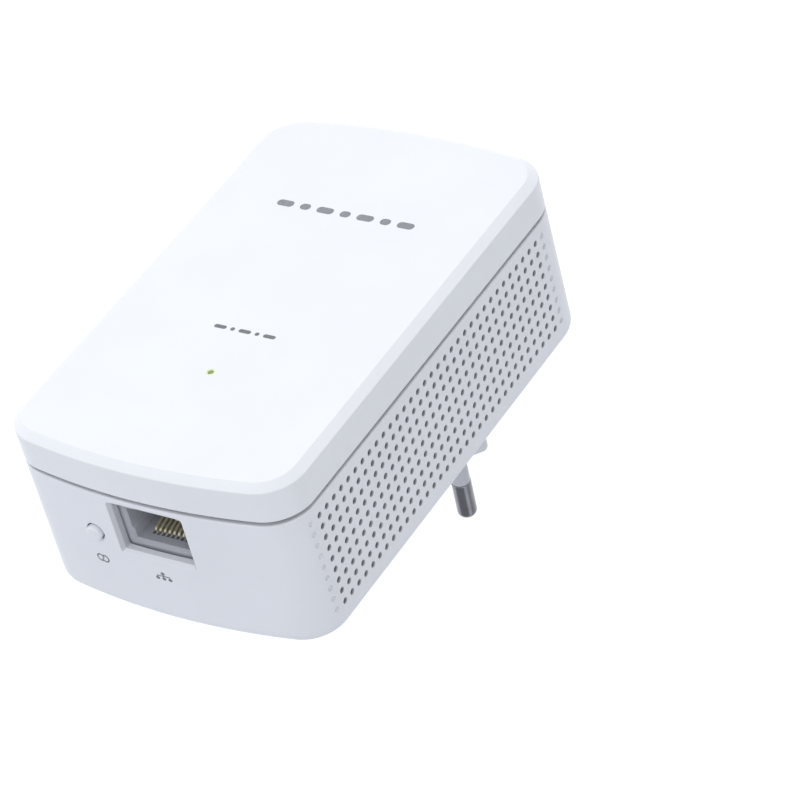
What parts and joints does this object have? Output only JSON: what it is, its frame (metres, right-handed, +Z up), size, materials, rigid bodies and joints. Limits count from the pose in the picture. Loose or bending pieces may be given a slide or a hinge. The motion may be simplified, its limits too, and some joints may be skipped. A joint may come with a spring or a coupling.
{
  "type": "powerline network adapter",
  "caption": "White wall-plug powerline adapter: bowed box with vented sides, LAN socket and pair button at the low end, two-pin plug on a tall six-sided boss.",
  "frame": {"origin": "centre of the flat plug face, midway between the two pins", "axes": "+X across the width, +Y out of the plug face into the wall outlet, +Z up with the LAN socket at the low end; the front cover faces -Y"},
  "size_m": [0.0616, 0.0745, 0.1019],
  "materials": {
    "cover_plastic": "white satin",
    "housing_plastic": "white fine matt",
    "plug_plastic": "white satin",
    "sleeve_plastic": "light grey satin",
    "pin_metal": "bright nickel plate",
    "button_plastic": "white fine matt",
    "jack_plastic": "grey matt",
    "contact_gold": "gold plate",
    "black_plastic": "black moulding",
    "board_laminate": "green solder mask",
    "ferrite": "dark sintered",
    "winding_tape": "yellow tape",
    "capacitor_sleeve": "dark blue sleeve",
    "film_case": "yellow case",
    "fuse_glass": "clear glass",
    "ceramic_coat": "blue coating",
    "screw_steel": "zinc plate",
    "sink_aluminium": "extruded",
    "crystal_can": "drawn can",
    "light_guide": "clear moulding",
    "led_lens": "green lens",
    "label_foil": "blank foil",
    "live_insulation": "red-brown insulation",
    "neutral_insulation": "blue insulation"
  },
  "bodies": {
    "case": {"front_cover": "cover_plastic", "rear_housing": "housing_plastic", "rating_label": "label_foil", "plug_block": "plug_plastic", "plug_pin_left": "pin_metal", "plug_pin_right": "pin_metal", "pin_sleeve_left": "sleeve_plastic", "pin_sleeve_right": "sleeve_plastic", "live_lead": "live_insulation", "neutral_lead": "neutral_insulation", "power_board": "board_laminate", "main_board": "board_laminate", "board_header": "black_plastic", "power_board_screw_left": "screw_steel", "power_board_screw_right": "screw_steel", "main_board_screw_left": "screw_steel", "main_board_screw_right": "screw_steel", "lan_jack_housing": "jack_plastic", "lan_contact_carrier": "black_plastic", "lan_contact_1": "contact_gold", "lan_contact_2": "contact_gold", "lan_contact_3": "contact_gold", "lan_contact_4": "contact_gold", "lan_contact_5": "contact_gold", "lan_contact_6": "contact_gold", "lan_contact_7": "contact_gold", "lan_contact_8": "contact_gold", "switch_body": "black_plastic", "light_pipe": "light_guide", "status_led": "led_lens", "transformer_core": "ferrite", "transformer_winding": "winding_tape", "bulk_capacitor": "capacitor_sleeve", "output_capacitor": "capacitor_sleeve", "interference_capacitor": "film_case", "mains_choke": "ferrite", "mains_fuse": "fuse_glass", "surge_varistor": "ceramic_coat", "safety_capacitor": "ceramic_coat", "bridge_rectifier": "black_plastic", "power_controller_chip": "black_plastic", "lan_transformer": "black_plastic", "main_chip": "black_plastic", "heat_sink": "sink_aluminium", "memory_chip": "black_plastic", "clock_crystal": "crystal_can", "line_coupling_transformer": "winding_tape"},
    "button": {"pair_button": "button_plastic", "switch_plunger": "black_plastic"}
  },
  "joints": [
    {"name": "pair_button_press", "type": "slide", "parent": "case", "child": "button", "axis": [0, 0, 1], "range_m": [0, 0.0005], "stiffness_N_per_m": 1200}
  ]
}
